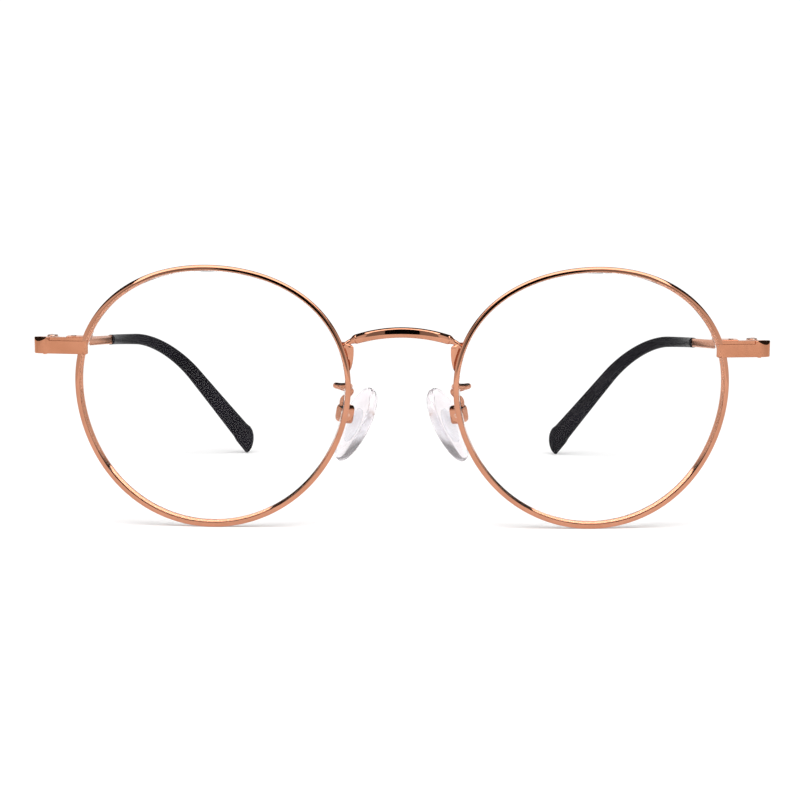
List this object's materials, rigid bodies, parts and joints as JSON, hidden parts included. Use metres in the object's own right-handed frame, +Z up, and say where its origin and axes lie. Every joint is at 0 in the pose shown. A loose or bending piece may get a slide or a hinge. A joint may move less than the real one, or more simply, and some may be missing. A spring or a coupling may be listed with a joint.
{
  "type": "eyeglasses",
  "caption": "Round thin-wire metal eyeglasses with an arched bridge, rocking clear nose pads and folding temples with bent dark tips.",
  "frame": {"origin": "centre of the bounding box at its underside: the level surface that both rims and both temple tips stand on", "axes": "+X to the wearer's left, -Y out of the front face, +Y backwards along the temples, +Z up"},
  "size_m": [0.141, 0.136, 0.0502],
  "materials": {
    "rose_gold": "polished rose-gold plating on a copper-nickel alloy wire",
    "screw_metal": "small turned screws plated to match the frame",
    "black_tip": "smooth satin-gloss black acetate sleeve",
    "silicone": "clear soft silicone, slightly frosted",
    "clear_insert": "clear polycarbonate core of the nose pad",
    "clear_lens": "polished clear plano lens"
  },
  "bodies": {
    "front": {"bridge": "rose_gold", "rim_left": "rose_gold", "lens_left": "clear_lens", "bridge_foot_left": "rose_gold", "end_piece_left": "rose_gold", "closing_block_upper_left": "rose_gold", "closing_block_lower_left": "rose_gold", "closing_screw_left": "screw_metal", "hinge_front_leaf_left": "rose_gold", "hinge_screw_left": "screw_metal", "pad_wire_left": "rose_gold", "pad_box_left": "rose_gold", "pad_screw_left": "screw_metal", "rim_right": "rose_gold", "lens_right": "clear_lens", "bridge_foot_right": "rose_gold", "end_piece_right": "rose_gold", "closing_block_upper_right": "rose_gold", "closing_block_lower_right": "rose_gold", "closing_screw_right": "screw_metal", "hinge_front_leaf_right": "rose_gold", "hinge_screw_right": "screw_metal", "pad_wire_right": "rose_gold", "pad_box_right": "rose_gold", "pad_screw_right": "screw_metal"},
    "temple_left": {"hinge_temple_leaf_left": "rose_gold", "temple_left": "rose_gold", "temple_tip_left": "black_tip"},
    "temple_right": {"hinge_temple_leaf_right": "rose_gold", "temple_right": "rose_gold", "temple_tip_right": "black_tip"},
    "pad_left": {"pad_insert_left": "clear_insert", "nose_pad_left": "silicone"},
    "pad_right": {"pad_insert_right": "clear_insert", "nose_pad_right": "silicone"}
  },
  "joints": [
    {"name": "temple_left_fold", "type": "hinge", "parent": "front", "child": "temple_left", "pos_m": [0.06763, -0.05578, 0.03451], "axis": [0, -0.065, 0.9979], "range_deg": [0, 79]},
    {"name": "temple_right_fold", "type": "hinge", "parent": "front", "child": "temple_right", "pos_m": [-0.06763, -0.05578, 0.03451], "axis": [0, 0.065, -0.9979], "range_deg": [0, 74]},
    {"name": "pad_left_rock", "type": "hinge", "parent": "front", "child": "pad_left", "pos_m": [0.0112, -0.05572, 0.02137], "axis": [0.4938, 0.8591, 0.1344], "range_deg": [-10, 10]},
    {"name": "pad_right_rock", "type": "hinge", "parent": "front", "child": "pad_right", "pos_m": [-0.0112, -0.05572, 0.02137], "axis": [0.4938, -0.8591, -0.1344], "range_deg": [-10, 10]}
  ]
}
